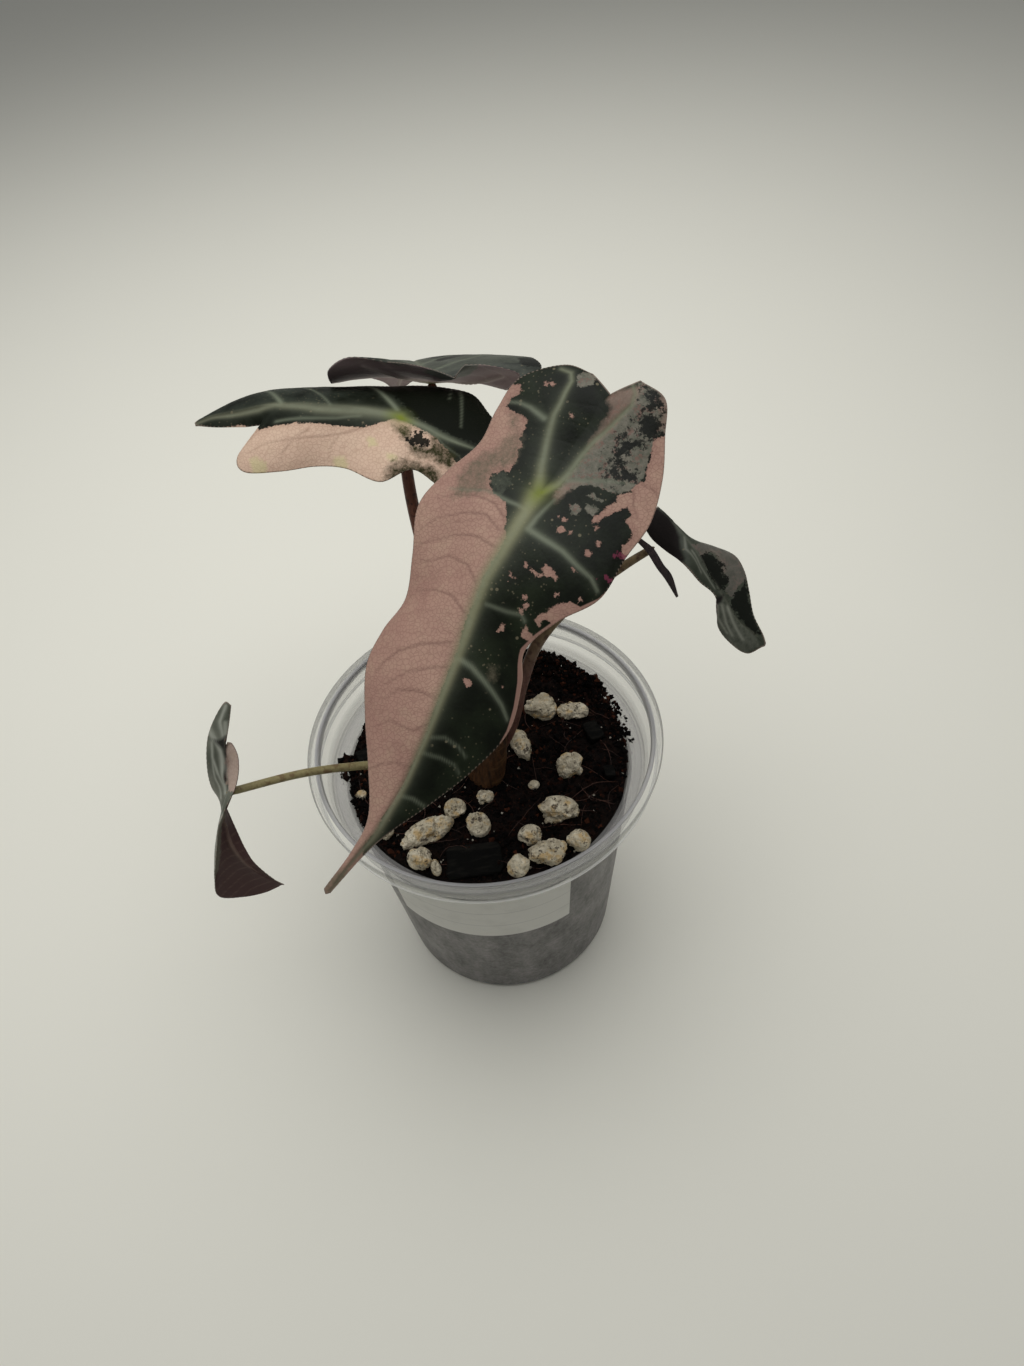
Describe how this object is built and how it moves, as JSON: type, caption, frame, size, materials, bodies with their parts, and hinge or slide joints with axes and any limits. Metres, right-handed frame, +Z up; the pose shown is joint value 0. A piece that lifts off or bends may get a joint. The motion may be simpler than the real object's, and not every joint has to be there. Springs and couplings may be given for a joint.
{
  "type": "potted alocasia polly",
  "caption": "Small alocasia polly with arrow-shaped dark green and pink leaves on thin stalks, in a clear nursery pot filled with dark soil, pumice and bark.",
  "frame": {"origin": "centre of the pot's flat base", "axes": "+Z up along the pot's axis; the front leaf's tip hangs towards -Y and -X; +X to the right seen from the front"},
  "size_m": [0.1763, 0.2097, 0.2322],
  "materials": {
    "clear_plastic": "thin clear plastic, slightly frosted and scuffed",
    "paper": "matt white paper strip",
    "soil": "damp dark potting mix with coir fibres",
    "stem": "dry brown sheathed stem",
    "red_stalk": "smooth, reddish brown with fine stripes",
    "olive_stalk": "smooth, olive to tan",
    "leaf": "dark green upper face with silvery veins and dusty pink patches, purple underside, semi-gloss",
    "pink_leaf": "dusty pink half and dark green half, semi-gloss",
    "dry_sheath": "dried dark purple-brown leaf sheath",
    "pumice": "cream-grey porous pumice",
    "bark": "dark bark and charcoal chips"
  },
  "bodies": {
    "root": {"pot": "clear_plastic", "label": "paper", "soil": "soil", "stem_base": "stem", "leaf_front": "leaf", "leaf_left": "pink_leaf", "leaf_back": "leaf", "leaf_low": "leaf", "leaf_right": "leaf", "stalk_front": "red_stalk", "stalk_left": "red_stalk", "stalk_back": "red_stalk", "stalk_low": "olive_stalk", "stalk_right": "olive_stalk", "dried_sheath": "dry_sheath", "pumice_01": "pumice", "pumice_02": "pumice", "pumice_03": "pumice", "pumice_04": "pumice", "pumice_05": "pumice", "pumice_06": "pumice", "pumice_07": "pumice", "pumice_08": "pumice", "pumice_09": "pumice", "pumice_10": "pumice", "pumice_11": "pumice", "pumice_12": "pumice", "pumice_13": "pumice", "pumice_14": "pumice", "pumice_15": "pumice", "pumice_16": "pumice", "pumice_17": "pumice", "pumice_18": "pumice", "bark_01": "bark", "bark_02": "bark", "bark_03": "bark", "bark_04": "bark"}
  },
  "joints": []
}
